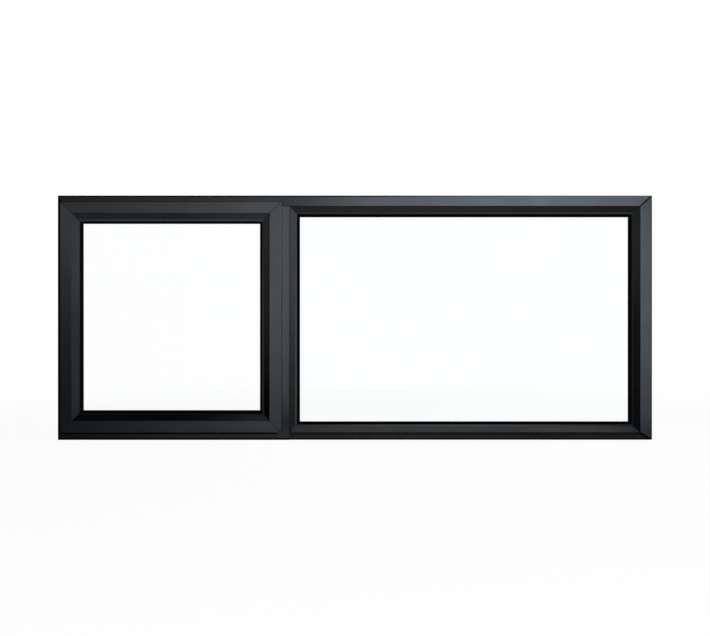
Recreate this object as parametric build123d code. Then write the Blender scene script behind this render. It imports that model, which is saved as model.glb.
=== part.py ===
"""Top-hung window: a narrow top-hung sash on the left of a wide fixed light, in one aluminium frame.

Millimetres. X runs to the right as seen from outside, Y runs into the room and Z runs up. The origin is
the middle of the frame's underside: half of the overall width and half of the frame's depth.
"""
import os

from build123d import *

# Outer frame
overall_width = 1500.0
overall_height = 617.0
frame_depth = 42.0
frame_wall = 1.6
head_face = 27.0
left_jamb_face = 18.5
right_jamb_face = 30.5
mullion_face = 30.0
mullion_centre_x = -181.0
left_sill_face = 30.5
right_sill_face = 19.0
right_sill_setback = 4.0
outer_edge_bevel = 4.0
inner_edge_round = 0.8
joint_gap = 0.5

# Stop fins inside the frame, which the sash closes on and the fixed pane is glazed to
fin_thickness = 2.0
sash_fin_length = 18.0

# Fixing holes through the jambs, on the room side of the fins
fixing_hole_radius = 3.25
left_fixing_from_end = 120.0
right_fixing_from_end = 100.0

# Sash section
sash_face = 30.0
sash_lap = 11.0
sash_proud = 10.0
sash_wall = 1.6
sash_edge_round = 1.5
sash_clearance = 10.0
open_mitre_length = 15.5
open_mitre_width = 1.8
lap_seal_thickness = 1.5
lap_seal_width = 5.0
weather_seal_thickness = 3.0
weather_seal_width = 5.0
seal_setback = 3.0

# Glazing, with depths measured from the face of the frame or sash that holds the pane
bead_width = 19.0
bead_slope_width = 14.5
bead_edge_depth = 1.0
bead_slope_depth = 11.5
bead_lip_depth = 13.0
bead_back_depth = 14.0
bead_wall = 1.3
bead_groove = 0.6
gasket_thickness = 3.0
gasket_cover = 7.0
gasket_edge_thickness = 0.6
glass_thickness = 4.0
glass_edge_gap = 4.0
fixed_gasket_lip = 7.5
sash_gasket_lip = 6.0
gasket_past_fin = 0.5
setting_block_length = 60.0

# Friction stays, folded between the sash and the frame at each side
stay_thickness = 2.0
stay_width = 14.0
stay_front_depth = 3.0
stay_drop = 16.0
stay_track_length = 300.0
stay_bar_length = 230.0
stay_arm_length = 170.0
stay_arm_width = 11.0
stay_rivet_radius = 3.0

# Lever handle inside, on the bottom rail of the sash
handle_base_length = 78.0
handle_base_height = 19.0
handle_base_thickness = 9.0
handle_spindle_radius = 7.0
handle_spindle_length = 4.0
handle_lever_length = 112.0
handle_lever_height = 15.0
handle_lever_thickness = 7.0
handle_nose_width = 12.0
handle_nose_thickness = 4.0
handle_keep_length = 34.0
handle_keep_height = 11.0
handle_edge_round = 2.0

# Lines that follow from the sizes above
half_width = overall_width / 2
frame_face_y = -frame_depth / 2
sash_face_y = frame_face_y - sash_proud
glass_front_depth = bead_back_depth + gasket_thickness
glass_back_depth = glass_front_depth + glass_thickness
fin_front_depth = glass_back_depth + gasket_thickness
fin_front_y = frame_face_y + fin_front_depth
fin_back_y = fin_front_y + fin_thickness
sash_back_y = fin_front_y - weather_seal_thickness
sash_depth = sash_back_y - sash_face_y
flange_depth = sash_proud - lap_seal_thickness
mullion_left = mullion_centre_x - mullion_face / 2
mullion_right = mullion_centre_x + mullion_face / 2
head_underside = overall_height - head_face
sides = ("top", "bottom", "left", "right")


class Edges:
    """A rectangle seen from outside, given by its left, right, bottom and top lines."""

    def __init__(self, left, right, bottom, top):
        self.left, self.right, self.bottom, self.top = left, right, bottom, top

    def inside(self, by):
        return Edges(self.left + by, self.right - by, self.bottom + by, self.top - by)

    def corners(self, side, shorter=0.0):
        """The two corners of a side, each moved towards the other by the given length."""
        if side == "top":
            return [(self.left + shorter, self.top), (self.right - shorter, self.top)]
        if side == "bottom":
            return [(self.left + shorter, self.bottom), (self.right - shorter, self.bottom)]
        if side == "left":
            return [(self.left, self.bottom + shorter), (self.left, self.top - shorter)]
        return [(self.right, self.bottom + shorter), (self.right, self.top - shorter)]


vent_opening = Edges(-half_width + left_jamb_face, mullion_left, left_sill_face, head_underside)
fixed_opening = Edges(mullion_right, half_width - right_jamb_face, right_sill_face, head_underside)
sash_outline = vent_opening.inside(-sash_lap)
sash_rebate = sash_outline.inside(sash_face)


def doubled_area(points):
    turns = zip(points, points[1:] + points[:1])
    return sum(ax * by - bx * ay for (ax, ay), (bx, by) in turns)


def polygon(points):
    """A flat face with these corners, always facing up in its own plane."""
    return Polygon(*(points if doubled_area(points) > 0 else points[::-1]), align=None)


def inset(points, wall):
    """The polygon's corners moved inwards by a wall, each to where its two moved sides meet."""
    sign = 1 if doubled_area(points) > 0 else -1
    moved = []
    for before, here, after in zip(points[-1:] + points[:-1], points, points[1:] + points[:1]):
        arriving = (Vector(*here) - Vector(*before)).normalized()
        leaving = (Vector(*after) - Vector(*here)).normalized()
        inward = Vector(-arriving.Y - leaving.Y, arriving.X + leaving.X) * sign
        reach = wall / (1 + arriving.dot(leaving))
        moved.append((here[0] + inward.X * reach, here[1] + inward.Y * reach))
    return moved


def placed(edges, side, points, face_y):
    """Corners given as (distance in from an edge, depth behind a face), set at one side of a rectangle."""
    if side == "top":
        return [(face_y + depth, edges.top - inwards) for inwards, depth in points]
    if side == "bottom":
        return [(face_y + depth, edges.bottom + inwards) for inwards, depth in points]
    if side == "left":
        return [(edges.left + inwards, face_y + depth) for inwards, depth in points]
    return [(edges.right - inwards, face_y + depth) for inwards, depth in points]


def section_at(edges, side, points, face_y, hollow=None, rounds=()):
    """A member's section with rounded corners and an inner hollow, in the plane across that side."""
    section = polygon(placed(edges, side, points, face_y))
    for corner, radius in rounds:
        x, y = placed(edges, side, [corner], face_y)[0]
        nearest = min(section.vertices(), key=lambda v: (v.X - x) ** 2 + (v.Y - y) ** 2)
        section = fillet(nearest, radius)
    if hollow:
        section = section - polygon(placed(edges, side, hollow, face_y))
    return section


def carried(section, side, start, end):
    """A section carried along its side, from one coordinate to another."""
    plane = Plane.YZ if side in ("top", "bottom") else Plane.XY
    return extrude(plane.offset(start) * section, amount=end - start)


def standing_prism(outline):
    """A block whose outline is seen from outside, deep enough to cut any member."""
    return extrude(Plane.XZ * polygon(outline), amount=2 * frame_depth, both=True)


def mitred_bar(edges, side, points, face_y, hollow=None, rounds=(), gap=joint_gap):
    """One straight member of a rectangle whose corners are mitred at 45 degrees."""
    reach = max(abs(inwards) for inwards, depth in points) + 1
    outer, inner = edges.inside(-reach), edges.inside(reach)
    start, end = (outer.left, outer.right) if side in ("top", "bottom") else (outer.bottom, outer.top)
    bar = carried(section_at(edges, side, points, face_y, hollow, rounds), side, start, end)
    back = gap / 2 ** 0.5
    outline = outer.corners(side, back) + inner.corners(side, back)[::-1]
    return bar & standing_prism(outline)


def ring(edges, points, face_y):
    """Four strips joined at their mitres into one closed ring, such as a seal."""
    top, bottom, left, right = (mitred_bar(edges, side, points, face_y, gap=0.0) for side in sides)
    return top + left + bottom + right


def box_between(low, high):
    """A block between its lowest and highest corners."""
    size = [top - bottom for bottom, top in zip(low, high)]
    return Pos(*low) * Box(*size, align=(Align.MIN, Align.MIN, Align.MIN))


def strip(inner, outer, front, back):
    """A rectangular section, as distances in from an edge and depths behind a face."""
    return [(inner, front), (outer, front), (outer, back), (inner, back)]


def bevelled(width, setback=0.0):
    """The outline of a member whose outer front edge is bevelled, with its face set back from the frame's."""
    return [(0.0, setback + outer_edge_bevel), (outer_edge_bevel, setback), (width, setback),
            (width, frame_depth), (0.0, frame_depth)]


def frame_tube(edges, side, face_width, start, end, setback=0.0):
    """A hollow frame member whose outer side lies on the given edge."""
    outline = bevelled(face_width, setback)
    rounds = [((face_width, setback), inner_edge_round), ((0.0, frame_depth), inner_edge_round),
              ((face_width, frame_depth), inner_edge_round)]
    section = section_at(edges, side, outline, frame_face_y, inset(outline, frame_wall), rounds)
    return carried(section, side, start, end)


def sash_fin(side):
    """The stop that the sash closes on, along one side of its opening."""
    points = strip(0.0, sash_fin_length, fin_front_depth, fin_front_depth + fin_thickness)
    return mitred_bar(vent_opening, side, points, frame_face_y)


def glazing_fin(side):
    """The stop that the fixed pane is glazed to, along one side of its opening."""
    length = bead_width + fixed_gasket_lip - gasket_past_fin
    points = strip(0.0, length, fin_front_depth, fin_front_depth + fin_thickness)
    return mitred_bar(fixed_opening, side, points, frame_face_y)


def fixing_holes(x_low, x_high, from_end):
    """The drill paths of the two fixing screws of a jamb, each that far from the frame's end."""
    y = (fin_back_y + frame_depth / 2) / 2
    hole = Cylinder(fixing_hole_radius, x_high - x_low, rotation=(0, 90, 0))
    heights = (from_end, overall_height - from_end)
    return [Pos((x_low + x_high) / 2, y, z) * hole for z in heights]


def mitre_line(outer, inner, keep_above):
    """The mitre from an outer to an inner corner, drawn past both and moved half the joint gap."""
    outer, inner = Vector(*outer), Vector(*inner)
    along = (inner - outer).normalized()
    upwards = Vector(-along.Y, along.X) if along.X > 0 else Vector(along.Y, -along.X)
    aside = upwards * (joint_gap / 2 if keep_above else -joint_gap / 2)
    ends = (outer - along * frame_depth + aside, inner + along * frame_wall + aside)
    return [(end.X, end.Y) for end in ends]


def outer_frame():
    """Head, jambs, mullion and the two lengths of sill."""
    outline = Edges(-half_width, half_width, 0.0, overall_height)
    top_left = (-half_width, overall_height), (vent_opening.left, head_underside)
    top_right = (half_width, overall_height), (fixed_opening.right, head_underside)
    low_left = (-half_width, 0.0), (vent_opening.left, left_sill_face)
    low_right = (half_width, 0.0), (fixed_opening.right, right_sill_face)
    gap = joint_gap / 2

    head = frame_tube(outline, "top", head_face, -half_width, half_width)
    head &= standing_prism(mitre_line(*top_left, True) + mitre_line(*top_right, True)[::-1])
    left = frame_tube(outline, "left", left_jamb_face, 0.0, overall_height)
    left &= standing_prism(mitre_line(*top_left, False) + mitre_line(*low_left, True)[::-1])
    right = frame_tube(outline, "right", right_jamb_face, 0.0, overall_height)
    right &= standing_prism(mitre_line(*top_right, False) + mitre_line(*low_right, True)[::-1])
    past = frame_depth
    sill_left = frame_tube(outline, "bottom", left_sill_face, -half_width, mullion_left - gap)
    cut = [(mullion_left, left_sill_face + frame_wall), (mullion_left, -past)]
    sill_left &= standing_prism(mitre_line(*low_left, False) + cut)
    sill_right = frame_tube(outline, "bottom", right_sill_face, mullion_right + gap, half_width,
                            right_sill_setback)
    cut = [(mullion_right, right_sill_face + frame_wall), (mullion_right, -past)]
    sill_right &= standing_prism(mitre_line(*low_right, False) + cut)

    upright = Edges(mullion_left, mullion_right, 0.0, head_underside)
    section_rounds = [((0.0, 0.0), inner_edge_round), ((mullion_face, 0.0), inner_edge_round)]
    points = strip(0.0, mullion_face, 0.0, frame_depth)
    section = section_at(upright, "left", points, frame_face_y, inset(points, frame_wall), section_rounds)
    mullion = carried(section, "left", 0.0, head_underside - joint_gap)
    closed_section = section_at(upright, "left", points, frame_face_y, rounds=section_rounds)
    mullion += carried(closed_section, "left", 0.0, outer_edge_bevel + frame_wall)
    foot = polygon(placed(outline, "bottom", bevelled(overall_height), frame_face_y))
    mullion &= carried(foot, "bottom", mullion_left, mullion_right)

    left_holes = fixing_holes(-half_width - 1, vent_opening.left + 1, left_fixing_from_end)
    right_holes = fixing_holes(fixed_opening.right - 1, half_width + 1, right_fixing_from_end)
    return {
        "frame_head": head + sash_fin("top") + glazing_fin("top"),
        "frame_left_jamb": left + sash_fin("left") - left_holes,
        "frame_right_jamb": right + glazing_fin("right") - right_holes,
        "frame_mullion": mullion + sash_fin("right") + glazing_fin("left"),
        "frame_sill_left": sill_left + sash_fin("bottom"),
        "frame_sill_right": sill_right + glazing_fin("bottom"),
    }


def glazing(name, rebate, face_y, gasket_lip):
    """Beads, gaskets, setting blocks and pane of one light, in from the edges of its rebate."""
    bead = [(bead_groove, bead_edge_depth), (bead_slope_width, bead_slope_depth),
            (bead_width, bead_lip_depth), (bead_width, bead_back_depth), (0.0, bead_back_depth),
            (0.0, bead_edge_depth + 3 * bead_groove), (bead_groove, bead_edge_depth + 2 * bead_groove)]
    wedge = [(bead_groove, bead_edge_depth), (bead_slope_width, bead_slope_depth),
             (bead_slope_width, bead_back_depth), (bead_groove, bead_back_depth)]
    slope_nose = [((bead_slope_width, bead_slope_depth), 2 * inner_edge_round)]
    tip = bead_width + gasket_lip
    outer_gasket = [(bead_width - gasket_cover, bead_back_depth), (bead_width, bead_back_depth),
                    (bead_width, bead_lip_depth), (tip, glass_front_depth - gasket_edge_thickness),
                    (tip, glass_front_depth), (bead_width - gasket_cover, glass_front_depth)]
    inner_gasket = strip(bead_width - gasket_cover, tip, glass_back_depth, fin_front_depth)
    pane = rebate.inside(glass_edge_gap)
    front, back = face_y + glass_front_depth, face_y + glass_back_depth

    nodes = {}
    for side in sides:
        hollow = inset(wedge, bead_wall)
        nodes[f"{name}_bead_{side}"] = mitred_bar(rebate, side, bead, face_y, hollow, slope_nose)
    nodes[f"{name}_gasket_outer"] = ring(rebate, outer_gasket, face_y)
    nodes[f"{name}_gasket_inner"] = ring(rebate, inner_gasket, face_y)
    nodes[f"{name}_glass"] = box_between((pane.left, front, pane.bottom), (pane.right, back, pane.top))
    quarter = (pane.right - pane.left) / 4
    blocks = []
    for x in (pane.left + quarter, pane.right - quarter):
        low = (x - setting_block_length / 2, front, rebate.bottom)
        blocks.append(box_between(low, (x + setting_block_length / 2, back, pane.bottom)))
    nodes[f"{name}_setting_blocks"] = Compound(blocks)
    return nodes


def open_mitre():
    """The joint that has opened at the sash's lower right corner: a wedge through the front wall alone."""
    x, z = sash_outline.right, sash_outline.bottom
    reach = open_mitre_length / 2 ** 0.5
    aside = open_mitre_width / 2 / 2 ** 0.5
    wedge = standing_prism([(x, z), (x - reach + aside, z + reach + aside), (x - reach - aside, z + reach - aside)])
    front = box_between((x - sash_face, sash_face_y - sash_wall, z - sash_wall),
                        (x + sash_wall, sash_face_y + 2 * sash_wall, z + sash_face))
    return wedge & front


def sash_members():
    """The four mitred sash members: a flange that laps the frame, a body and a glazing leg, all hollow."""
    body = sash_lap + sash_clearance
    leg = sash_face + bead_width + sash_gasket_lip - gasket_past_fin
    points = [(0.0, 0.0), (sash_face, 0.0), (sash_face, fin_front_depth), (leg, fin_front_depth),
              (leg, sash_depth), (body, sash_depth), (body, flange_depth), (0.0, flange_depth)]
    rounds = [((0.0, 0.0), sash_edge_round), ((sash_face, 0.0), inner_edge_round),
              ((0.0, flange_depth), inner_edge_round), ((leg, sash_depth), inner_edge_round)]
    hollow = inset(points, sash_wall)
    names = {"top": "sash_top_rail", "bottom": "sash_bottom_rail",
             "left": "sash_left_stile", "right": "sash_right_stile"}
    members = {names[side]: mitred_bar(sash_outline, side, points, sash_face_y, hollow, rounds)
               for side in sides}
    for side in ("bottom", "right"):
        members[names[side]] -= open_mitre()
    return members


def seals():
    """The seal under the sash's lap and the seal between the sash's back and the stop fins."""
    lap = strip(seal_setback, seal_setback + lap_seal_width, flange_depth, sash_proud)
    start = sash_clearance + seal_setback
    back_depth = sash_back_y - frame_face_y
    weather = strip(start, start + weather_seal_width, back_depth, fin_front_depth)
    return {"sash_lap_seal": ring(sash_outline, lap, sash_face_y),
            "sash_weather_seal": ring(vent_opening, weather, frame_face_y)}


def friction_stay(name, frame_x, into_gap):
    """A stay's track on the frame, its bar on the sash and the riveted arm between them."""
    y_low = frame_face_y + stay_front_depth
    y_high = y_low + stay_width
    top = head_underside - stay_drop

    def plate(near, far, z_low, z_high, narrower=0.0):
        xs = sorted((frame_x + into_gap * near, frame_x + into_gap * far))
        return box_between((xs[0], y_low + narrower, z_low), (xs[1], y_high - narrower, z_high))

    gap = sash_clearance
    track = plate(0.0, stay_thickness, top - stay_track_length, top)
    bar = plate(gap - stay_thickness, gap, top - stay_bar_length, top)
    middle = (gap - stay_thickness) / 2
    arm_top = top - stay_arm_width
    arm = plate(middle, middle + stay_thickness, arm_top - stay_arm_length, arm_top,
                (stay_width - stay_arm_width) / 2)
    length = gap - 2 * stay_thickness
    rivet = Cylinder(stay_rivet_radius, length, rotation=(0, 90, 0))
    for z in (arm_top - stay_arm_width / 2, arm_top - stay_arm_length + stay_arm_width / 2):
        arm += Pos(frame_x + into_gap * gap / 2, (y_low + y_high) / 2, z) * rivet
    return {f"{name}_stay_track": track, f"{name}_stay_arm": arm, f"{name}_stay_bar": bar}


def handle():
    """The lever handle on the room side of the bottom rail, and its keep on the stop fin."""
    middle_x = (sash_outline.left + sash_outline.right) / 2
    leg_tip = sash_rebate.bottom + bead_width + sash_gasket_lip - gasket_past_fin
    fin_tip = vent_opening.bottom + sash_fin_length
    middle_z = (fin_tip + leg_tip) / 2
    base_back = sash_back_y + handle_base_thickness
    lever_front = base_back + handle_spindle_length
    lever_back = lever_front + handle_lever_thickness
    half_length, half_height = handle_base_length / 2, handle_base_height / 2
    base = box_between((middle_x - half_length, sash_back_y, middle_z - half_height),
                       (middle_x + half_length, base_back, middle_z + half_height))
    base = fillet(base.edges().filter_by(Axis.Y), half_height * 0.9)
    base = fillet(base.faces().sort_by(Axis.Y)[-1].edges(), handle_edge_round)

    spindle = Cylinder(handle_spindle_radius, handle_spindle_length, rotation=(90, 0, 0))
    spindle = Pos(middle_x, (base_back + lever_front) / 2, middle_z) * spindle
    half_lever = handle_lever_height / 2
    lever = box_between((middle_x - half_lever, lever_front, middle_z - half_lever),
                        (middle_x + handle_lever_length, lever_back, middle_z + half_lever))
    lever = fillet(lever.edges().filter_by(Axis.Y), half_lever * 0.9)
    lever = fillet(lever.faces().sort_by(Axis.Y)[-1].edges(), handle_edge_round)

    keep_top = fin_tip - handle_edge_round
    keep_low = keep_top - handle_keep_height
    keep_back = base_back
    keep = box_between((middle_x - handle_keep_length / 2, fin_back_y, keep_low),
                       (middle_x + handle_keep_length / 2, keep_back, keep_top))
    keep = fillet(keep.faces().sort_by(Axis.Y)[-1].edges().filter_by(Axis.Z), handle_edge_round)
    nose = box_between((middle_x - handle_nose_width / 2, keep_back, keep_low + handle_edge_round),
                       (middle_x + handle_nose_width / 2, keep_back + handle_nose_thickness, middle_z))
    return {"handle_base": base, "handle_lever": lever + spindle + nose, "handle_keep": keep}


def window():
    """Every piece of the window, by name."""
    nodes = outer_frame()
    nodes.update(glazing("fixed", fixed_opening, frame_face_y, fixed_gasket_lip))
    nodes.update(sash_members())
    nodes.update(glazing("sash", sash_rebate, sash_face_y, sash_gasket_lip))
    nodes.update(seals())
    nodes.update(friction_stay("left", vent_opening.left, 1))
    nodes.update(friction_stay("right", vent_opening.right, -1))
    nodes.update(handle())
    return nodes


os.makedirs("parts", exist_ok=True)
for node_name, shape in window().items():
    export_step(shape, f"parts/{node_name}.step")
    print(node_name, len(shape.solids()), round(shape.volume))
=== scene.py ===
# %% [markdown]
# # A black top-hung window, dressed in cells
# The construction is already made: hollow aluminium sections, mitred at their corners, two panes, beads,
# seals, friction stays and a handle. This lesson gives them their finish, adds the small pieces that a
# fitter adds by hand, and sets up a studio. Everything is in metres, in the frame of the construction:
# X to the right as seen from outside, Y into the room, Z up.

# %% Load the construction
import math

import bmesh
import bpy
import numpy as np
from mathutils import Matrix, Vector


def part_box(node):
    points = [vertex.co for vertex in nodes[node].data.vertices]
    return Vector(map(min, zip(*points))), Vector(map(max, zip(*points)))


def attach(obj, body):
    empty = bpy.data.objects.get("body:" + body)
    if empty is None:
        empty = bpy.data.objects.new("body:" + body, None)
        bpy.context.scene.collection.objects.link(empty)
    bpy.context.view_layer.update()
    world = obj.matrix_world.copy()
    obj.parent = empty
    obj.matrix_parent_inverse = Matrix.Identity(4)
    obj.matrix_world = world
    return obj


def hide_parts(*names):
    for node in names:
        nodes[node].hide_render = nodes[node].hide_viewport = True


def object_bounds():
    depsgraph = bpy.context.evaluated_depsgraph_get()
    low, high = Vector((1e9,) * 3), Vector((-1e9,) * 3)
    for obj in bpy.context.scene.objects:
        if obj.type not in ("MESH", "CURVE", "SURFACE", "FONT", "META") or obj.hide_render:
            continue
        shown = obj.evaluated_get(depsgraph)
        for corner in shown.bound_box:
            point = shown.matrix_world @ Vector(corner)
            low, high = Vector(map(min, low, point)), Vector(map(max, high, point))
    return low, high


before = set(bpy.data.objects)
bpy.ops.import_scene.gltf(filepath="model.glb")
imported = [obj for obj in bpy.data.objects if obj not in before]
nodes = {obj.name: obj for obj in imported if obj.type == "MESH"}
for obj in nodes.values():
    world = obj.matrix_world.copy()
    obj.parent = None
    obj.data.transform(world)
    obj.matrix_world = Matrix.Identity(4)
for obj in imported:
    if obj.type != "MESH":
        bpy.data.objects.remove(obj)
cad_low, cad_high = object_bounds()
millimetre = 0.001
print("nodes:", len(nodes), "box:", [round(v, 4) for v in (*cad_low, *cad_high)])

# %% [markdown]
# ## Reading the photograph
# The photograph is 710 by 636 pixels and looks straight at the window from outside. The outer edges of
# the frame are 593.5 pixels apart and 1.5 m apart on the real window, so one pixel is about 2.5 mm at the
# frame's face. The middle of the picture falls 122 pixels above the sill, which is the camera's height.
# How much the deep beads shift sideways towards the ends of the window tells the distance: about 3 m.
# A pinhole camera then needs only its lens: the width that it sees over the distance. The outline lies
# a little behind the face, round the bevel, so the lens is worked out for that depth.

# %% Camera at the photograph's place
picture_width_px, picture_height_px = 710, 636
frame_left_px, frame_right_px, sill_px = 58.2, 651.7, 439.8
metres_per_px = (cad_high.x - cad_low.x) / (frame_right_px - frame_left_px)
camera_distance = 3.0
outline_depth = 7.0 * millimetre
sensor_width = 36.0
frame_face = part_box("frame_head")[0].y
camera_x = (picture_width_px / 2 - (frame_left_px + frame_right_px) / 2) * metres_per_px
camera_z = (sill_px - picture_height_px / 2) * metres_per_px

camera_data = bpy.data.cameras.new("camera")
camera = bpy.data.objects.new("camera", camera_data)
bpy.context.scene.collection.objects.link(camera)
camera.location = (camera_x, frame_face - camera_distance, camera_z)
camera.rotation_euler = (math.pi / 2, 0, 0)
camera_data.sensor_width = sensor_width
camera_data.lens = sensor_width * (camera_distance + outline_depth) / (picture_width_px * metres_per_px)
bpy.context.scene.camera = camera
print("camera at", [round(v, 3) for v in camera.location], "lens", round(camera_data.lens, 2), "mm")

# %% [markdown]
# ## Arithmetic on shader sockets
# A shader tree is a formula drawn as boxes. Writing it as boxes is long, so a small class wraps a
# socket and lets Python's own signs add the Math nodes: `1 - mask` becomes a Subtract node.

# %% Wires
class Wire:
    """An output socket that can be used in arithmetic; each sign adds one Math node."""

    def __init__(self, finish, socket):
        self.finish, self.socket = finish, socket

    def __add__(self, other):
        return self.finish.maths("ADD", self, other)

    def __sub__(self, other):
        return self.finish.maths("SUBTRACT", self, other)

    def __rsub__(self, other):
        return self.finish.maths("SUBTRACT", other, self)

    def __mul__(self, other):
        return self.finish.maths("MULTIPLY", self, other)

    def __truediv__(self, other):
        return self.finish.maths("DIVIDE", self, other)

    __radd__ = __add__
    __rmul__ = __mul__


print("wires take the signs + - * /")

# %% [markdown]
# Every other node comes from one method that takes its type, its settings and its inputs, each a number,
# a colour or a wire. The methods after it give short names to the few nodes that this window needs often.

# %% Finishes
def set_stops(elements, stops):
    """Gives a ramp its stops, each a place from 0 to 1 and a grey value."""
    while len(elements) < len(stops):
        elements.new(0.5)
    for element, (place, value) in zip(elements, stops):
        element.position = place
        element.color = (value, value, value, 1.0)


class Finish:
    """A node tree under construction, for a material or for the world."""

    def __init__(self, owner):
        owner.use_nodes = True
        self.owner, self.tree = owner, owner.node_tree
        self.tree.nodes.clear()

    def node(self, kind, settings=None, inputs=None, output=0):
        """Adds a node, gives it its settings, then its inputs by name or number, and returns a wire."""
        made = self.tree.nodes.new(kind)
        for key, value in (settings or {}).items():
            if key == "stops":
                set_stops(made.color_ramp.elements, value)
            else:
                setattr(made, key, value)
        for key, value in (inputs or {}).items():
            if isinstance(value, Wire):
                self.tree.links.new(value.socket, made.inputs[key])
            else:
                made.inputs[key].default_value = value
        return Wire(self, made.outputs[output]) if made.outputs else None

    def maths(self, operation, first, second):
        return self.node("ShaderNodeMath", {"operation": operation}, {0: first, 1: second})

    def colour_mix(self, factor, first, second):
        """A colour between two colours: the first where the factor is 0, the second where it is 1."""
        settings = {"data_type": "RGBA"}
        return self.node("ShaderNodeMix", settings, {0: factor, 6: first, 7: second}, output=2)

    def step(self, value, low, high, to_low=0.0, to_high=1.0):
        """A smooth step: to_low below low, to_high above high, and an S curve between them."""
        inputs = {0: value, 1: low, 2: high, 3: to_low, 4: to_high}
        return self.node("ShaderNodeMapRange", {"interpolation_type": "SMOOTHSTEP"}, inputs)

    def place(self, stretch=(1.0, 1.0, 1.0)):
        """Object coordinates, multiplied along each axis so that a pattern can be stretched."""
        spot = self.node("ShaderNodeTexCoord", output="Object")
        return self.node("ShaderNodeMapping", inputs={"Vector": spot, "Scale": stretch})

    def coordinate(self, axis):
        """One of the Object coordinates, which are metres in the frame of the construction."""
        spot = self.node("ShaderNodeTexCoord", output="Object")
        return self.node("ShaderNodeSeparateXYZ", inputs={0: spot}, output=axis)

    def along(self, axis, stops):
        """A value that changes in straight lines between stops, each a coordinate in metres and a value."""
        first, last = stops[0][0], stops[-1][0]
        share = (self.coordinate(axis) - first) / (last - first)
        scaled = [((metres - first) / (last - first), value) for metres, value in stops]
        return self.node("ShaderNodeValToRGB", {"stops": scaled}, {0: share})

    def ray(self, kind):
        """1 for rays of one kind, and 0 for all others."""
        return self.node("ShaderNodeLightPath", output=f"Is {kind} Ray")

    def noise(self, spot, scale, detail=2.0, roughness=0.5):
        inputs = {"Vector": spot, "Scale": scale, "Detail": detail, "Roughness": roughness}
        return self.node("ShaderNodeTexNoise", inputs=inputs)

    def bump(self, height, strength, distance, under=None):
        inputs = {"Strength": strength, "Distance": distance, "Height": height}
        if under:
            inputs["Normal"] = under
        return self.node("ShaderNodeBump", inputs=inputs)

    def show(self, shader):
        """Ends the tree at its output node and returns what the tree belongs to."""
        of_world = isinstance(self.owner, bpy.types.World)
        kind = "ShaderNodeOutputWorld" if of_world else "ShaderNodeOutputMaterial"
        self.node(kind, inputs={"Surface": shader})
        return self.owner


def new_finish(name):
    return Finish(bpy.data.materials.new(name))


print("a finish can add:", [name for name in vars(Finish) if not name.startswith("_")])

# %% [markdown]
# ## Powder coat
# The sections are aluminium with a black polyester powder coat, baked on. It is a satin plastic skin:
# nearly black, with a broad soft shine, a fine orange peel about a millimetre wide and, under it, the
# faint lines that the extrusion die draws along the bar. It could be one colour with one roughness, but
# then every face would look printed. Here slow clouds shift the tone and roughness a little, fine
# noise dimples the normal, and each bar has a shine of its own, which paints how much light falls on it.
# Where a mask from the bar's own place says so, a Mix Shader turns it into a darker matt coat: painted
# shade, and dirt in the mitres.

# %% Powder coat
COAT = (0.0031, 0.0034, 0.0039)
SATIN, MATT = 0.29, 0.85
full_shine, shade_and_dirt_shine = 0.333, 0.015
upright_bar = (900.0, 900.0, 6.0)
level_bar = (6.0, 900.0, 900.0)
every_way = (400.0, 400.0, 400.0)


def tint(colour, share):
    """A colour made darker or lighter, with its alpha."""
    return tuple(c * share for c in colour) + (1.0,)


def powder_coat(name, shine, stretch, shade_and_dirt_mask=None):
    """A satin coat: tone and roughness drift with slow clouds, peel and die lines move the normal."""
    finish = new_finish(name)
    spot = finish.place()
    cloud = finish.noise(spot, scale=7.0, detail=3.0)
    colour = finish.colour_mix(cloud, tint(COAT, 0.80), tint(COAT, 1.20))
    smudge = finish.noise(spot, scale=23.0, detail=4.0, roughness=0.6)
    peel = finish.noise(spot, scale=850.0, detail=1.0)
    lines = finish.noise(finish.place(stretch), scale=1.0, detail=1.0)
    normal = finish.bump(lines, strength=0.10, distance=0.06 * millimetre)
    normal = finish.bump(peel, strength=0.16, distance=0.10 * millimetre, under=normal)
    inputs = {"Base Color": colour, "Roughness": SATIN + (smudge - 0.5) * 0.09, "Normal": normal,
              "Specular IOR Level": full_shine * shine}
    coat = finish.node("ShaderNodeBsdfPrincipled", inputs=inputs)
    # The mask mixes in a darker matt coat: painted shade, and dirt in the mitres.
    if shade_and_dirt_mask:
        inputs = {"Base Color": tint(COAT, 0.5), "Roughness": MATT, "Specular IOR Level": shade_and_dirt_shine}
        shade_and_dirt = finish.node("ShaderNodeBsdfPrincipled", inputs=inputs)
        coat = finish.node("ShaderNodeMixShader", inputs={0: shade_and_dirt_mask(finish), 1: coat, 2: shade_and_dirt})
    return finish.show(coat)


print("coat tone", COAT, "shine", full_shine)

# %% [markdown]
# ## Where the coat is painted darker
# How bright each bar is, and how it fades along the bar, was set by comparing renders with the
# photograph, so both are painted light and shade. Painted shadow lies under the sash's lower edge and on
# the narrow front of the left jamb, painted shade low down on the sill's bevel, and dirt in thin lines along
# the mitres, strongest at the right-hand corners of the frame. A mitre line runs from an outer corner to
# the inner corner beside it, so the corners come first.

# %% Corners that the dirt follows
X, Y, Z = 0, 1, 2
left, right = cad_low.x, cad_high.x
bottom, top = cad_low.z, cad_high.z
head_face, left_jamb_face, right_jamb_face = 27.0 * millimetre, 18.5 * millimetre, 30.5 * millimetre
left_sill_face, right_sill_face = 30.5 * millimetre, 19.0 * millimetre
sash_left, sash_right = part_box("sash_left_stile")[0].x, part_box("sash_right_stile")[1].x
sash_bottom, sash_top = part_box("sash_bottom_rail")[0].z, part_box("sash_top_rail")[1].z
sash_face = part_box("sash_bead_left")[0].x - sash_left


def corners(low_x, high_x, low_z, high_z):
    """The four corners of a rectangle, each an X and a Z, by name."""
    return {"bottom left": (low_x, low_z), "top left": (low_x, high_z),
            "bottom right": (high_x, low_z), "top right": (high_x, high_z)}


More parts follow.
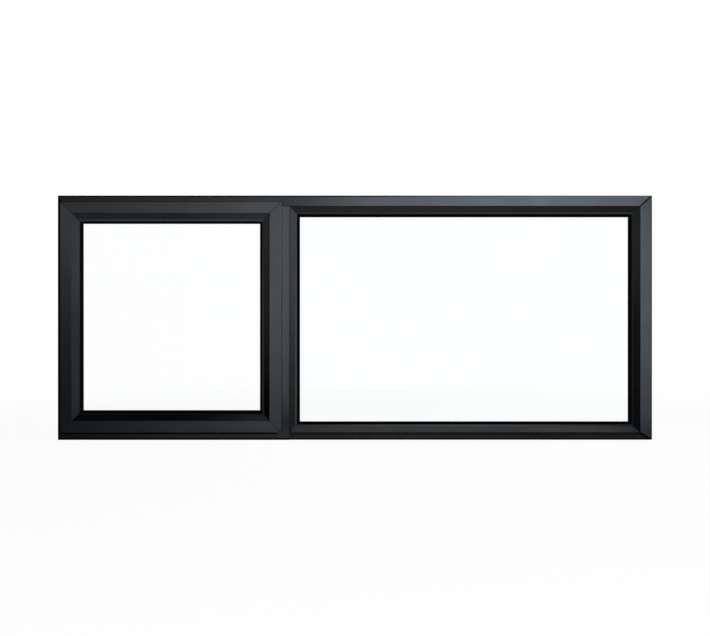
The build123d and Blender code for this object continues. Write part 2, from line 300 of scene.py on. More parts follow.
frame_outer = corners(left, right, bottom, top)
frame_inner = corners(left + left_jamb_face, right - right_jamb_face,
                      bottom + left_sill_face, top - head_face)
frame_inner["bottom right"] = (right - right_jamb_face, bottom + right_sill_face)
sash_outer = corners(sash_left, sash_right, sash_bottom, sash_top)
sash_inner = corners(sash_left + sash_face, sash_right - sash_face,
                     sash_bottom + sash_face, sash_top - sash_face)


def mitre_line(finish, outer, inner, half_width, strength):
    """Dirt along a line between two corners: strength on the line, none beyond half its width."""
    x, z = finish.coordinate(X), finish.coordinate(Z)
    across, up = inner[0] - outer[0], inner[1] - outer[1]
    length = math.hypot(across, up)
    off = (x - outer[0]) * (up / length) - (z - outer[1]) * (across / length)
    distance = finish.maths("ABSOLUTE", off, 0.0)
    height = finish.maths("ABSOLUTE", z - outer[1], 0.0)
    end_from, end_to = abs(up) + 0.5 * millimetre, abs(up) + 1.5 * millimetre
    reached = finish.step(height, end_from, end_to, 1.0, 0.0)
    return finish.step(distance, half_width * 0.4, half_width, strength, 0.0) * reached


print("sash", [round(v, 4) for v in (sash_left, sash_right, sash_bottom, sash_top)])

# %% [markdown]
# Three tables say what is seen on each bar: its shine, its fades and its mitre lines. A fade is painted
# shade: an axis and stops along it, each a coordinate in metres and the share of the coat that is left
# unshaded there. A mitre line is a corner, half a width and a strength. The bar's mask is 0 for clean coat
# and 1 for the dark matt coat: the unshaded shares are multiplied together, and the darkest of the fades,
# the painted shadow and the lines wins.

# %% Painted shade and dirt on the bars
# Each bar's shine makes it brighter or darker: painted light for how much falls on it.
bar_painted_shine = {
    "frame_head": 1.34, "frame_left_jamb": 1.0, "frame_right_jamb": 1.02, "frame_mullion": 1.28,
    "frame_sill_left": 0.87, "frame_sill_right": 0.74, "sash_top_rail": 1.38, "sash_bottom_rail": 1.33,
    "sash_left_stile": 1.37, "sash_right_stile": 1.26,
}
# Painted shade: each fade darkens a bar where less light falls, such as the head's left end, the lower
# bevels, and the left jamb and sash edge in the sash's shadow.
bar_shade_fades = {
    "frame_head": [(X, ((-0.70, 0.38), (-0.21, 0.62), (-0.18, 0.55),
                        (0.05, 0.92), (0.40, 0.86), (0.70, 1.0)))],
    "frame_left_jamb": [(Y, ((frame_face + 0.007, 0.0), (frame_face + 0.011, 1.0)))],
    "frame_mullion": [(Z, ((0.004, 0.0), (0.006, 0.75), (0.045, 0.48), (0.09, 0.80), (0.12, 1.0)))],
    "frame_sill_left": [(Z, ((0.004, 0.0), (0.006, 1.0))), (X, ((-0.70, 0.48), (-0.50, 0.88)))],
    "frame_sill_right": [(Z, ((0.0035, 0.1), (0.0055, 1.0), (0.008, 0.95), (0.0145, 0.40))),
                         (X, ((0.15, 1.0), (0.45, 0.45)))],
    "frame_right_jamb": [(Z, ((0.02, 0.55), (0.06, 0.90), (0.35, 0.90), (0.55, 1.0))),
                         (X, ((right - 0.0050, 1.0), (right - 0.0034, 0.62)))],
    "sash_top_rail": [(X, ((-0.70, 0.70), (-0.25, 1.0)))],
    "sash_bottom_rail": [(X, ((-0.70, 0.55), (-0.25, 1.0)))],
    "sash_left_stile": [(Z, ((0.10, 0.42), (0.32, 0.68), (0.50, 0.96))),
                        (X, ((sash_left + 0.0012, 0.0), (sash_left + 0.0026, 1.0)))],
}
# Dirt in the mitre joints; the broad line at the lower right corner of the sill is also painted shadow where
# the sill sits back.
mitre_dirt_and_shadow = {
    "frame_head": (("top left", 0.0014, 0.45), ("top right", 0.0026, 1.0)),
    "frame_left_jamb": (("top left", 0.0014, 0.45), ("bottom left", 0.0014, 0.55)),
    "frame_right_jamb": (("top right", 0.0022, 1.0), ("bottom right", 0.0026, 1.0)),
    "frame_sill_left": (("bottom left", 0.0012, 0.5),),
    "frame_sill_right": (("bottom right", 0.0065, 0.97),),
}
sash_mitre_half_width, sash_mitre_strength = 1.3 * millimetre, 0.40
# Painted shade on the head's top bevel, darker towards the left.
head_bevel_from, head_bevel_to = top - 4.2 * millimetre, top - 3.4 * millimetre
head_bevel_shade = ((-0.70, 0.04), (-0.35, 0.16), (-0.20, 0.40), (-0.17, 1.0), (0.40, 0.96))
# Painted shadow for 5 mm under the sash's lower edge.
lap_shadow_from, lap_shadow_to = sash_bottom - 5.8 * millimetre, sash_bottom - 4.2 * millimetre
lap_end_from, lap_end_to = sash_right - 2.0 * millimetre, sash_right + 3.0 * millimetre


def painted_lap_shadow(finish):
    """Painted shadow for 5 mm below the sash's lower edge, as far as the sash reaches."""
    below = finish.step(finish.coordinate(Z), lap_shadow_from, lap_shadow_to)
    return below * finish.step(finish.coordinate(X), lap_end_from, lap_end_to, 0.95, 0.0)


def bar_shade_and_dirt(finish, name):
    """The mask of a bar of the frame or the sash: painted shade and shadow, and dirt in the mitres."""
    unshaded = 1.0
    for axis, stops in bar_shade_fades.get(name, ()):
        unshaded = finish.along(axis, stops) * unshaded
    shade_and_dirt = 1.0 - unshaded
    if name == "frame_sill_left":
        shade_and_dirt = finish.maths("MAXIMUM", shade_and_dirt, painted_lap_shadow(finish))
    if name == "frame_head":
        on_bevel = finish.step(finish.coordinate(Z), head_bevel_from, head_bevel_to)
        shade_and_dirt = on_bevel * (1.0 - finish.along(X, head_bevel_shade)) + (1.0 - on_bevel) * shade_and_dirt
    lines = [(frame_outer[corner], frame_inner[corner], half_width, strength)
             for corner, half_width, strength in mitre_dirt_and_shadow.get(name, ())]
    if name.startswith("sash"):
        lines += [(sash_outer[corner], sash_inner[corner], sash_mitre_half_width, sash_mitre_strength)
                  for corner in sash_outer]
    for line in lines:
        shade_and_dirt = finish.maths("MAXIMUM", shade_and_dirt, mitre_line(finish, *line))
    return shade_and_dirt


print("bars that fade:", len(bar_shade_fades))

# %% [markdown]
# ## Beads
# A bead has a broad slope and, next to the gasket, a narrow lip. The lips at the top of both panes are
# left bright, and the other lips of the sash are painted darker: painted shade, as along the slopes. Each
# bead's line gives its shine, the unshaded share of its lip, and unshaded shares evenly spaced along its
# slope, from its left or lower end.

# %% Painted shade on the beads
lip_from, lip_to = 14.2 * millimetre, 15.2 * millimetre
from_corner = 60.0 * millimetre
# Each bead's shine and its shares paint how light falls on it, lighter or darker.
bead_shine_and_shade = {
    "sash_bead_left": (1.5, 0.16, (0.45, 0.40, 0.84)),
    "sash_bead_right": (2.8, 0.25, (0.0, 0.40, 0.85)),
    "sash_bead_top": (2.9, 1.0, (0.50, 0.44, 0.63)),
    "sash_bead_bottom": (1.6, 0.10, (0.24, 0.06, 0.42)),
    "fixed_bead_left": (1.25, 1.0, (0.42, 0.52, 0.61)),
    "fixed_bead_right": (1.3, 0.18, (0.09, 0.22, 0.85)),
    "fixed_bead_top": (1.5, 1.0, (0.70, 0.68, 0.34)),
    "fixed_bead_bottom": (1.2, 0.80, (0.65, 0.57, 0.55, 1.0)),
}


def bead_painted_shade(finish, name):
    """The painted-shade mask of a bead: one share on its lip, and another that changes along its slope."""
    lip_unshaded, slope_unshaded = bead_shine_and_shade[name][1:]
    low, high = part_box(name)
    side = name.split("_")[2]
    run, across = (Z, X) if side in ("left", "right") else (X, Z)
    spot = finish.coordinate(across)
    inwards = spot - low[across] if side in ("left", "bottom") else high[across] - spot
    places = np.linspace(low[run] + from_corner, high[run] - from_corner, len(slope_unshaded)).tolist()
    slope = finish.along(run, tuple(zip(places, slope_unshaded)))
    on_lip = finish.step(inwards, lip_from, lip_to)
    return 1.0 - (on_lip * lip_unshaded + (1.0 - on_lip) * slope)


def bar_finish(name):
    """The coat of one bar or bead, with its own shine, its own painted shade and dirt, and die lines along
    its length.
    """
    low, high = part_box(name)
    stretch = upright_bar if high.z - low.z > high.x - low.x else level_bar
    shine, shade_and_dirt = (bead_shine_and_shade[name][0], bead_painted_shade) if name in bead_shine_and_shade else (bar_painted_shine[name], bar_shade_and_dirt)
    return powder_coat(f"coat {name}", shine, stretch, lambda finish: shade_and_dirt(finish, name))


print("beads:", len(bead_shine_and_shade))

# %% [markdown]
# ## Rubber, glass and metal
# The gaskets are matt black rubber, the darkest thing on the window. The panes are clear float glass:
# looked at straight they pass nearly everything and mirror a few hundredths, more at a slant, so a
# see-through shader is mixed with a mirror by a Fresnel node, which lets lamps through as well. About a
# third of the full mirror keeps the panes as white as they are in the photograph. A very faint film of
# dust and wiping marks makes the mirror a little rougher in streaks.

# %% Rubber and glass
def rubber(name, tone, shine):
    """Matt black with a slow bloom that lightens it a little and a fine grain."""
    finish = new_finish(name)
    spot = finish.place()
    bloom = finish.noise(spot, scale=31.0, detail=3.0)
    grey = (tone, tone, tone)
    colour = finish.colour_mix(bloom, tint(grey, 0.6), tint(grey, 1.4))
    grain = finish.noise(spot, scale=1600.0, detail=1.0)
    normal = finish.bump(grain, strength=0.2, distance=0.08 * millimetre)
    inputs = {"Base Color": colour, "Roughness": 0.72 + (bloom - 0.5) * 0.12, "Normal": normal,
              "Specular IOR Level": shine}
    return finish.show(finish.node("ShaderNodeBsdfPrincipled", inputs=inputs))


def clear_glass(name, mirror_share):
    """See-through where it is faced squarely and a mirror at a slant, after Fresnel's law."""
    finish = new_finish(name)
    mirrored = finish.node("ShaderNodeFresnel", inputs={"IOR": 1.5}) * mirror_share
    wiped = finish.noise(finish.place((3.0, 3.0, 14.0)), scale=1.0, detail=4.0, roughness=0.65)
    through = finish.node("ShaderNodeBsdfTransparent", inputs={"Color": (0.998, 1.0, 0.999, 1.0)})
    inputs = {"Base Color": (0.75, 0.82, 0.80, 1.0), "Roughness": 0.02 + wiped * 0.05}
    shine = finish.node("ShaderNodeBsdfPrincipled", inputs=inputs)
    return finish.show(finish.node("ShaderNodeMixShader", inputs={0: mirrored, 1: through, 2: shine}))


gasket_rubber = rubber("gasket rubber", tone=0.0008, shine=0.012)
seal_rubber = rubber("seal rubber", tone=0.0016, shine=0.03)
pane_glass = clear_glass("clear float glass", mirror_share=0.35)
print("rubber and glass made")

# %% [markdown]
# Stainless steel stays are rolled and brushed along their length, the keep is zinc plated, and the
# handle is a zinc casting under the same black coat. The setting blocks under the panes are moulded
# plastic: the rubber's finish, lighter and with more shine.

# %% Metals and moulded plastic
def brushed_metal(name, colour, roughness, stretch):
    """Metal whose roughness and normal follow noise stretched along the brushing."""
    finish = new_finish(name)
    streaks = finish.noise(finish.place(stretch), scale=1.0, detail=4.0, roughness=0.6)
    cloud = finish.noise(finish.place(), scale=40.0, detail=2.0)
    shade = finish.colour_mix(cloud, tint(colour, 0.88), tint(colour, 1.0))
    normal = finish.bump(streaks, strength=0.25, distance=0.04 * millimetre)
    inputs = {"Base Color": shade, "Metallic": 1.0, "Roughness": roughness + (streaks - 0.5) * 0.22,
              "Normal": normal}
    return finish.show(finish.node("ShaderNodeBsdfPrincipled", inputs=inputs))


stainless = brushed_metal("brushed stainless", (0.55, 0.55, 0.56), 0.32, (1500.0, 1500.0, 25.0))
zinc = brushed_metal("zinc plate", (0.48, 0.49, 0.50), 0.42, (500.0, 500.0, 500.0))
handle_coat = powder_coat("handle coat", 1.2, every_way)
block_plastic = rubber("setting block plastic", tone=0.02, shine=0.4)
print("metals made")

# %% [markdown]
# A node's name tells what it is made of. The first word of the table that is found in the name decides,
# and a node with none of these words is a bar or a bead.

# %% Give every node its finish
finish_by_word = {
    "gasket": gasket_rubber, "seal": seal_rubber, "glass": pane_glass, "stay": stainless,
    "blocks": block_plastic, "keep": zinc, "handle": handle_coat,
}
for name, node in nodes.items():
    found = [finish for word, finish in finish_by_word.items() if word in name]
    node.data.materials.clear()
    node.data.materials.append(found[0] if found else bar_finish(name))
print("finished", len(nodes), "nodes")

# %% [markdown]
# ## Grids into meshes
# Every piece that follows is a tube: closed loops of points, one after another, kept in an array of
# rows, columns and three coordinates. Faces join each point to its neighbours in its own row and in the
# next. A ring such as a gasket joins its last row to its first; anything else is capped at both ends.

# %% Shells and pieces
def shell(grid, looped=False):
    """Corners, four-sided faces and caps of a tube given as rows of closed loops."""
    rows, columns = grid.shape[:2]
    corner = np.arange(rows * columns).reshape(rows, columns)
    here = corner if looped else corner[:-1]
    after = np.roll(corner, -1, axis=0) if looped else corner[1:]
    quads = np.stack([here, np.roll(here, -1, axis=1), np.roll(after, -1, axis=1), after], axis=-1)
    caps = [] if looped else [corner[0, ::-1], corner[-1]]
    return grid.reshape(-1, 3), quads.reshape(-1, 4), caps


def piece(name, shells, finish, stands_for=(), sharp_from=40.0):
    """Joins shells into one mesh in metres, turns its faces outwards and fixes it to the window."""
    faces, start = [], 0
    for points, quads, caps in shells:
        faces += (quads + start).tolist() + [(cap + start).tolist() for cap in caps]
        start += len(points)
    mesh = bpy.data.meshes.new(name)
    mesh.from_pydata(np.concatenate([points for points, quads, caps in shells]).tolist(), [], faces)
    facing = bmesh.new()
    facing.from_mesh(mesh)
    bmesh.ops.recalc_face_normals(facing, faces=facing.faces)
    facing.to_mesh(mesh)
    facing.free()
    mesh.polygons.foreach_set("use_smooth", np.ones(len(mesh.polygons), bool))
    mesh.set_sharp_from_angle(angle=math.radians(sharp_from))
    mesh.materials.append(finish)
    made = bpy.data.objects.new(name, mesh)
    bpy.context.scene.collection.objects.link(made)
    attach(made, "root")
    if stands_for:
        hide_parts(*stands_for)
    print(name, len(mesh.vertices), "corners", len(mesh.polygons), "faces")


print("a ring of 4 loops of 6 points has", len(shell(np.zeros((4, 6, 3)), looped=True)[1]), "faces")

# %% [markdown]
# ## Gaskets
# A wedge gasket is pushed between bead and glass. Its tongue is out of sight; what shows is a lip that
# rounds down to the glass, with two fine grooves from its die. It could be a bevelled curve, but the
# corners of a real one are cut to a mitre, and a curve would round them. Carrying a section round the
# rectangle keeps them sharp: each point has a distance in from the edge, and both coordinates grow by it.
# A fitter presses the lip in by hand, so its toe wanders by a tenth of a millimetre.

# %% A section carried round a rectangle
def round_opening(low, high, inwards, depth, steps, wander=0.0):
    """Rows for a section carried round a rectangle with mitred corners.

    The path runs round the unit square, a across and b up. A point that is w in from the rectangle lands
    at x = left + w + a (width - 2 w) and z = bottom + w + b (height - 2 w), so that at a corner both move
    alike. Where the section reaches furthest in, w also swings by two waves, 9 and 23 times round.
    """
    t = np.arange(steps) / steps
    zero, one = np.zeros(steps), np.ones(steps)
    a = np.concatenate([t, one, 1 - t, zero])[:, None]
    b = np.concatenate([zero, t, one, 1 - t])[:, None]
    way = 2 * np.pi * np.arange(4 * steps)[:, None] / (4 * steps)
    swing = wander * (0.6 * np.sin(9 * way + 1.0) + 0.4 * np.sin(23 * way))
    reach = inwards[None, :] + swing * (inwards / inwards.max())[None, :] ** 6
    x = low.x + reach + a * (high.x - low.x - 2 * reach)
    z = low.z + reach + b * (high.z - low.z - 2 * reach)
    return np.stack([x, np.broadcast_to(depth, x.shape), z], axis=-1)


def strip_width(name):
    """How far a ring reaches in from its left edge, read from the corners of its left half."""
    low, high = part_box(name)
    mesh = nodes[name].data
    flat = np.empty(3 * len(mesh.vertices), np.float32)
    mesh.vertices.foreach_get("co", flat)
    x = flat[0::3].astype(float)
    return x[x < (low.x + high.x) / 2].max() - low.x


for name in ("fixed_gasket_outer", "fixed_gasket_inner", "sash_lap_seal", "sash_weather_seal"):
    print(name, "is", round(strip_width(name) / millimetre, 2), "mm wide")

# %% [markdown]
# The tongue is as long as the part of the plain gasket that the bead covers, and the lip is the rest.

# %% Outer gaskets
groove_angles, groove_width, groove_depth = (0.72, 1.12), 0.07, 0.22 * millimetre
lip_drop = 0.3 * millimetre
toe_wander = 0.12 * millimetre


def wedge_section(tongue, lip, rise, tongue_rise, bend_steps=20):
    """The outer gasket's section, as distance in and height over the glass.

    The lip is a quarter ellipse, in = tongue + lip cos(t), height = rise sin(t), less two narrow bell
    curves that are its grooves. The tongue runs back flat under the bead.
    """
    turn = np.linspace(0.0, np.pi / 2, bend_steps)
    groove = sum(np.exp(-((turn - at) / groove_width) ** 2) for at in groove_angles)
    inwards = np.concatenate([tongue + lip * np.cos(turn), [tongue, 0.0, 0.0]])
    lip_height = rise * np.sin(turn) - groove_depth * groove
    return inwards, np.concatenate([lip_height, [tongue_rise, tongue_rise, 0.0]])


tongue_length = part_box("fixed_bead_left")[1].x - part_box("fixed_gasket_outer")[0].x
for light in ("fixed", "sash"):
    node = f"{light}_gasket_outer"
    low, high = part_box(node)
    lip_length = strip_width(node) - tongue_length
    under_bead = high.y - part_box(f"{light}_bead_left")[1].y
    inwards, height = wedge_section(tongue_length, lip_length, high.y - low.y - lip_drop, under_bead)
    grid = round_opening(low, high, inwards, high.y - height, steps=40, wander=toe_wander)
    piece(f"{light}_wedge_gasket", [shell(grid, looped=True)], gasket_rubber, (node,))

# %% [markdown]
# ## Inner gaskets and seals
# The other rubber strips are flat, with ribs that press flat when the window shuts: the gasket between
# glass and stop, the seal under the sash's lap, and the weather seal behind the sash. One section does
# for all: a flat back, rounded ends, and ribs that are a cosine across the width.

# %% Ribbed strips
def ribbed_section(width, thickness, ribs, rib_depth, points=40):
    """A strip's section, flat on one side.

    The other side is thickness - rib_depth (1 - cos) / 2 across the width, and falls to about a third of
    that over the last few hundredths of the width at each end.
    """
    across = np.linspace(0.0, 1.0, points)
    valley = (1 - np.cos(2 * np.pi * ribs * (across - 0.5 / ribs))) / 2
    end_round = (1 - np.abs(2 * across - 1) ** 12) ** 0.5
    ribbed = (thickness - rib_depth * valley) * (0.35 + 0.65 * end_round)
    inwards = np.concatenate([across * width, [width * 0.97, width * 0.03]])
    return inwards, np.concatenate([ribbed, [0.0, 0.0]])


ribbed_strips = (
    ("fixed_inner_gasket", "fixed_gasket_inner", gasket_rubber, "gasket", 4, 0.5 * millimetre),
    ("sash_inner_gasket", "sash_gasket_inner", gasket_rubber, "gasket", 4, 0.5 * millimetre),
    ("ribbed_lap_seal", "sash_lap_seal", seal_rubber, "seal", 3, 0.5 * millimetre),
    ("ribbed_weather_seal", "sash_weather_seal", seal_rubber, "seal", 1, 0.9 * millimetre),
)
for name, node, finish, slot, ribs, rib_depth in ribbed_strips:
    low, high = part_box(node)
    inwards, height = ribbed_section(strip_width(node), high.y - low.y, ribs, rib_depth)
    grid = round_opening(low, high, inwards, low.y + height, steps=24)
    piece(name, [shell(grid, looped=True)], finish, (node,))

# %% [markdown]
# ## Handle
# The handle is a small zinc casting: an oval plate screwed to the bottom rail, a round collar, and a
# lever that thins to a neck and swells into a grip, with a nose that hooks behind the keep. Such a form
# could be carved with subdivision surfaces. Here it is lofted, because a loft keeps to the sizes: at each
# step along the lever a rounded rectangle is drawn whose half sizes are a function of the length.

# %% Lofts and turned forms
def superellipse(half_across, half_up, power, points=36):
    """Rounded rectangles, one row for each pair of half sizes: |u / across| ^ p + |v / up| ^ p = 1."""
    turn = np.linspace(0.0, 2 * np.pi, points, endpoint=False)
    cosine, sine = np.cos(turn), np.sin(turn)
    across = np.sign(cosine) * np.abs(cosine) ** (2 / power)
    up = np.sign(sine) * np.abs(sine) ** (2 / power)
    return half_across[:, None] * across[None, :], half_up[:, None] * up[None, :]


def oval_plate(centre, half_length, half_height, levels, points=64):
    """Loops of a round-ended outline, each drawn in by an inset and set at its own depth.

    A loop is a circle of radius half_height - inset, pulled apart along x by the plate's straight length.
    """
    insets, depths = (np.array(v)[:, None] for v in levels)
    turn = (np.arange(points)[None, :] + 0.5) * 2 * np.pi / points
    radius = half_height - insets
    x = centre.x + np.sign(np.cos(turn)) * (half_length - half_height) + radius * np.cos(turn)
    z = centre.z + radius * np.sin(turn)
    return np.stack([x, np.broadcast_to(depths, x.shape), z], axis=-1)


def turned(centre, radii, depths, points=48):
    """A form turned about an axis along Y: at each depth a circle of its own radius."""
    turn = np.arange(points)[None, :] * 2 * np.pi / points
    radius, depth = np.array(radii)[:, None], np.array(depths)[:, None]
    x = centre.x + radius * np.cos(turn)
    z = centre.z + radius * np.sin(turn)
    return np.stack([x, np.broadcast_to(depth, x.shape), z], axis=-1)


def eased(low, high, steps):
    """Places from low to high that crowd together at both ends, as (1 - cos) / 2, for round tips."""
    return low + (1 - np.cos(np.linspace(0.0, np.pi, steps))) / 2 * (high - low)


print("five eased places from 0 to 1:", eased(0.0, 1.0, 5).round(3))

# %% [markdown]
# The plate's edge is a quarter round, and its top rises to a low crown of half a millimetre. Each level
# of both is an inset from the outline and a depth, so one loft makes the whole plate.

# %% Handle plate
plate_low, plate_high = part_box("handle_base")
handle_centre = (plate_low + plate_high) / 2
plate_half_height = (plate_high.z - plate_low.z) / 2
edge_radius = 2.6 * millimetre
crown_rise = 0.5 * millimetre
edge_turn = np.linspace(0.0, np.pi / 2, 8)
crown = np.linspace(0.15, 0.96, 8)
edge_inset = edge_radius * (1 - np.cos(edge_turn))
edge_depth = plate_high.y - crown_rise - edge_radius * (1 - np.sin(edge_turn))
crown_inset = edge_radius + crown * (plate_half_height - edge_radius)
crown_depth = plate_high.y - crown_rise * (1 - crown) ** 2
levels = (np.concatenate([[0.0], edge_inset, crown_inset]),
          np.concatenate([[plate_low.y], edge_depth, crown_depth]))
plate = oval_plate(handle_centre, (plate_high.x - plate_low.x) / 2, plate_half_height, levels)
piece("handle_plate", [shell(plate)], handle_coat, ("handle_base",))

# %% [markdown]
# The lever's half height rounds off at both ends as a circle does. A bell curve 19 mm from the spindle
# thins it to the neck, and another at 82 mm swells it to the grip. The nose is the same loft, upright.

# %% Handle lever
lever_low, lever_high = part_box("handle_lever")
lever_half = 7.5 * millimetre
lever_thickness = 7.0 * millimetre
neck_place, neck_length = handle_centre.x + 19.0 * millimetre, 9.0 * millimetre
grip_place, grip_length = handle_centre.x + 82.0 * millimetre, 24.0 * millimetre
tip_gap = 0.05 * millimetre
along = eased(lever_low.x + tip_gap, lever_high.x - tip_gap, 72)
from_end = np.minimum(along - lever_low.x, lever_high.x - along)
rounding = np.sqrt(1 - (1 - np.minimum(from_end / lever_half, 1.0)) ** 2)
neck = np.exp(-((along - neck_place) / neck_length) ** 2)
grip = np.exp(-((along - grip_place) / grip_length) ** 2)
half_up = lever_half * rounding * (1 - 0.36 * neck) * (0.86 + 0.14 * grip)
half_thick = lever_thickness / 2 * (1 - 0.22 * neck) * (0.80 + 0.20 * grip) * rounding ** 0.35
up, thick = superellipse(half_up, half_thick, power=2.6)
middle_depth = lever_high.y - lever_thickness / 2
lever = np.stack([np.broadcast_to(along[:, None], up.shape), middle_depth + thick,
                  handle_centre.z + up], axis=-1)

collar_low = plate_high.y - 0.8 * millimetre
flare = np.linspace(-1.0, 1.0, 14) ** 2
collar_radii = (6.1 + 1.2 * flare) * millimetre
collar = turned(handle_centre, collar_radii, np.linspace(collar_low, middle_depth, len(flare)))

nose_half_width, nose_half_depth, nose_round = 6.0 * millimetre, 1.9 * millimetre, 3.5 * millimetre
nose_z = eased(lever_low.z + tip_gap, handle_centre.z - tip_gap, 24)
nose_rounding = np.sqrt(1 - (1 - np.minimum((nose_z - lever_low.z) / nose_round, 1.0)) ** 2)
wide, deep = superellipse(nose_half_width * nose_rounding, nose_half_depth * nose_rounding ** 0.5, power=3.2)
nose_depth = plate_high.y + 2.0 * millimetre
nose = np.stack([handle_centre.x + wide, nose_depth + deep,
                 np.broadcast_to(nose_z[:, None], wide.shape)], axis=-1)
handle_parts = [shell(lever), shell(collar), shell(nose)]
piece("handle_grip", handle_parts, handle_coat, ("handle_lever",))

# %% [markdown]
# ## Screws
# Pan-head screws hold the handle's plate and the keep. A head is a low dome over a disc, with a cross
# pressed into it. As a formula, the height at a point is the dome less a cross-shaped dip, and the dip is
# deep where the point is near either arm of the cross. Each screw stopped at an angle of its own.

# %% Cross-head screws
def screw_head(centre, base_depth, radius, rise, angle, rings=16, spokes=56):
    """A dome, rise sqrt(1 - 0.8 (r / R)^2), less a cross with soft walls; it faces into the room.

    The cross is 0.3 R wide, reaches 0.58 R and dips by 0.55 of the rise. The rim is sunk by 0.2 mm.
    """
    edge_to_middle = np.linspace(radius * 0.985, radius * 0.02, rings)
    distance = np.concatenate([[radius, radius], edge_to_middle])[:, None]
    turn = np.arange(spokes)[None, :] * 2 * np.pi / spokes
    u, v = distance * np.cos(turn), distance * np.sin(turn)
    arm = 1 / (1 + (np.minimum(np.abs(u), np.abs(v)) / (0.15 * radius)) ** 6)
    within = 1 / (1 + (distance / (0.58 * radius)) ** 12)
    height = rise * np.sqrt(1 - 0.8 * (distance / radius) ** 2) - 0.55 * rise * arm * within
    height[0] = -0.2 * millimetre
    x = centre.x + u * math.cos(angle) - v * math.sin(angle)
    z = centre.z + u * math.sin(angle) + v * math.cos(angle)
    return shell(np.stack([x, base_depth + height, z], axis=-1))


def screw_pair(centre, half_apart, base_depth, radius, rise, angles):
    """Two screw heads to the left and right of a centre."""
    places = [centre + Vector((side * half_apart, 0, 0)) for side in (-1, 1)]
    return [screw_head(place, base_depth, radius, rise, angle) for place, angle in zip(places, angles)]


keep_low, keep_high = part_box("handle_keep")
keep_centre = (keep_low + keep_high) / 2
plate_screws = screw_pair(handle_centre, 30.0 * millimetre, plate_high.y - 0.4 * millimetre,
                          radius=3.4 * millimetre, rise=1.3 * millimetre, angles=(0.4, 1.1))
keep_screws = screw_pair(keep_centre, 11.8 * millimetre, keep_high.y,
                         radius=2.7 * millimetre, rise=0.9 * millimetre, angles=(0.9, 0.2))
piece("handle_screws", plate_screws, stainless, sharp_from=30.0)
piece("keep_screws", keep_screws, stainless, sharp_from=30.0)

# %% [markdown]
# ## Beds of sealant in the mitres
# Before the corners are pulled together their cut ends are wiped with black joint sealant, which keeps
# water and light out. It fills the hairline between two bars and ends just under their faces. Each bed is
# a thin plate that stands in the mitre: an outline in its own plane, drawn twice, a bed's thickness
# apart. The sash's lower right mitre has opened and is bare.

# %% Mitre beds
def mitre_bed(outer, inner, outline, thickness=0.4 * millimetre):
    """A plate in a mitre: outline points are distances along it from the outer corner, and depths."""
    outer, inner = np.array(outer), np.array(inner)
    along = (inner - outer) / np.linalg.norm(inner - outer)
    aside = np.array([-along[1], along[0]]) * thickness / 2
    distance, depth = np.array(outline).T
    x = outer[0] + along[0] * distance
    z = outer[1] + along[1] * distance
    front = np.stack([x + aside[0], depth, z + aside[1]], axis=-1)
    back = np.stack([x - aside[0], depth, z - aside[1]], axis=-1)
    return shell(np.stack([front, back]))


recess = 0.9 * millimetre
bevel = 4.0 * millimetre
sill_setback = {"bottom right": bevel}
flange = 8.5 * millimetre
beds = []
for corner in ("top left", "bottom left", "top right", "bottom right"):
    outer, inner = frame_outer[corner], frame_inner[corner]
    length = math.dist(outer, inner)
    narrower = min(abs(inner[0] - outer[0]), abs(inner[1] - outer[1]))
    bevel_end = recess + bevel * length / narrower
    front = frame_face + recess + sill_setback.get(corner, 0.0)
    near, reach, back = 1.5 * recess, length - recess, cad_high.y - recess
    outline = [(bevel_end, front), (reach, front), (reach, back), (near, back), (near, front + bevel)]
    beds.append(mitre_bed(outer, inner, outline))
for corner in ("bottom left", "top left", "top right"):
    outer, inner = sash_outer[corner], sash_inner[corner]
    near, reach = 2 * recess, math.dist(outer, inner) - recess
    front, back = cad_low.y + recess, cad_low.y + flange - recess
    outline = [(near, front), (reach, front), (reach, back), (near, back)]
    beds.append(mitre_bed(outer, inner, outline))
piece("mitre_sealant", beds, seal_rubber)

# %% [markdown]
# ## The studio
# A white floor, and white all round for the camera. To the camera the floor near the window is nearly
# all lamp, so it stays white in the picture, and the small rest of it is lit and shows the shadow. What
# shiny surfaces mirror is chosen too, as in a real studio: a white wall and a white floor on the room
# side, white cards on the floor to the left and right of the window, and a dark room straight in front
# of it. Cycles would look for this light as a lamp and weigh it down, so that is switched off.

# %% Floor and world
room_from, room_to = 0.10, 0.50
card_from, card_to, card_tone = 1.3, 2.0, 0.5
wall_from, wall_to = 0.55, 0.8
floor_gap = 0.5 * millimetre


def studio_floor(half_size, shadow_share, fade_from, fade_to):
    """A plane at the sill's underside; near the window a share of its tone is real light, far off none."""
    square = np.array([(-1, -1), (1, -1), (1, 1), (-1, 1)]) * half_size
    mesh = bpy.data.meshes.new("floor")
    mesh.from_pydata([(x, y, cad_low.z - floor_gap) for x, y in square], [], [(0, 1, 2, 3)])
    floor = bpy.data.objects.new("floor", mesh)
    bpy.context.scene.collection.objects.link(floor)
    finish = new_finish("studio floor")
    reach = finish.node("ShaderNodeVectorMath", {"operation": "LENGTH"}, {0: finish.place()}, output="Value")
    aside = finish.maths("ABSOLUTE", finish.coordinate(X), 0.0)
    room_side = finish.step(finish.coordinate(Y), room_from, room_to)
    cards = finish.maths("MAXIMUM", room_side, finish.step(aside, card_from, card_to, 0.0, card_tone))
    seen = finish.maths("MAXIMUM", finish.ray("Camera"), finish.ray("Transmission"))
    paint = seen * finish.step(reach, fade_from, fade_to, 1.0 - shadow_share, 1.0)
    paint = finish.maths("MAXIMUM", paint, finish.ray("Glossy") * cards)
    matt = finish.node("ShaderNodeBsdfDiffuse", inputs={"Color": (0.80, 0.80, 0.80, 1.0)})
    white = finish.node("ShaderNodeEmission", inputs={"Color": (1.0, 1.0, 1.0, 1.0), "Strength": 1.0})
    mixed = finish.node("ShaderNodeMixShader", inputs={0: paint, 1: matt, 2: white})
    finish.owner.cycles.emission_sampling = "NONE"
    mesh.materials.append(finish.show(mixed))


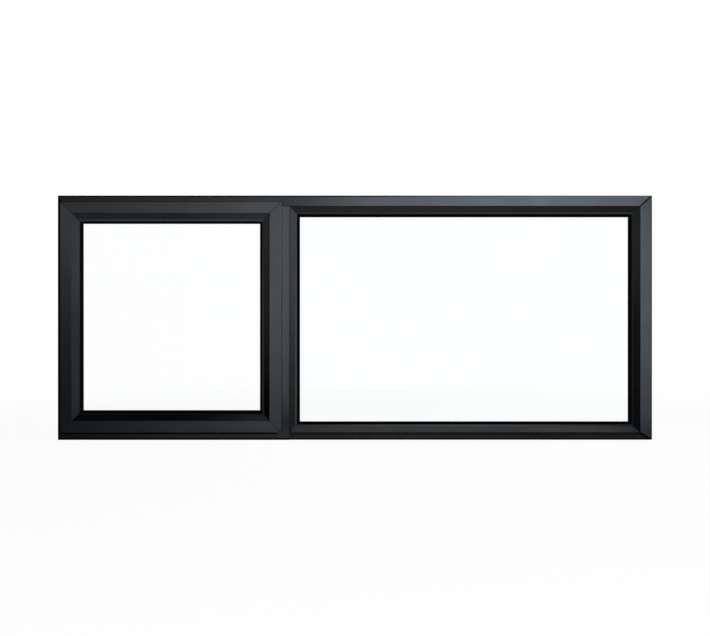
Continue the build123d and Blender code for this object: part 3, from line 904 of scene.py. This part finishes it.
def studio_world():
    """White for the camera and, in reflections, white on the room side; it lights nothing else."""
    finish = Finish(bpy.data.worlds.new("studio"))
    direction = finish.node("ShaderNodeTexCoord", output="Generated")
    towards_room = finish.node("ShaderNodeSeparateXYZ", inputs={0: direction}, output=Y)
    wall = finish.step(towards_room, wall_from, wall_to)
    seen = finish.maths("MAXIMUM", finish.ray("Camera"), finish.ray("Transmission"))
    strength = seen + (1 - seen) * (finish.ray("Glossy") * wall)
    inputs = {"Color": (1.0, 1.0, 1.0, 1.0), "Strength": strength}
    finish.owner.cycles.sampling_method = "NONE"
    bpy.context.scene.world = finish.show(finish.node("ShaderNodeBackground", inputs=inputs))


studio_floor(half_size=30.0, shadow_share=0.05, fade_from=1.2, fade_to=2.6)
studio_world()
print("floor and world made")

# %% [markdown]
# ## Lamps
# Nine soft boxes stand before, beside and over the window, and two behind it light the room side. All are
# aimed at one point of the window. The two main ones are cool, as daylight is; the others are nearly
# white. Their places were found by lighting the window with one lamp at a time and asking which of them,
# and how bright, add up to the tones of the photograph.

# %% Soft boxes
aim = Vector((0.2, 0.0, 0.35))
cool, white = (0.72, 0.85, 1.0), (0.95, 0.97, 1.0)


def softbox(name, place, watts, colour=white, width=1.0, height=1.0):
    """A rectangular area lamp at a place, turned towards the aiming point."""
    data = bpy.data.lights.new(name, "AREA")
    data.shape = "RECTANGLE"
    data.size, data.size_y = width, height
    data.energy, data.color = watts, colour
    lamp = bpy.data.objects.new(name, data)
    bpy.context.scene.collection.objects.link(lamp)
    lamp.location = place
    lamp.rotation_euler = (aim - Vector(place)).to_track_quat("-Z", "Y").to_euler()


softbox("key", (1.2, -3.4, 0.5), 28.0, cool)
softbox("middle", (0.4, -2.2, 1.0), 14.2, cool)
softbox("low left", (-0.4, -3.4, 0.5), 9.5)
softbox("left", (-1.2, -2.2, 1.0), 3.7)
softbox("over the head", (0.54, -0.3, 1.6), 13.5, width=1.9)
softbox("far left", (-2.5, -0.5, 1.0), 0.4, width=0.7, height=0.7)
softbox("right side", (2.0, -0.3, 0.7), 13.0)
softbox("low side left", (-2.9, -2.9, 0.35), 6.0, height=0.7)
softbox("low side right", (3.3, -2.9, 0.35), 14.0, height=0.7)
softbox("room left", (-1.9, 2.4, 0.7), 14.0)
softbox("room right", (1.5, 2.8, 0.7), 14.0)
bpy.context.scene.view_settings.view_transform = "Standard"
print("lamps:", len(bpy.data.lights))

# %% [markdown]
# ## The added pieces
# The pieces that were added stand on the construction and inside its box.
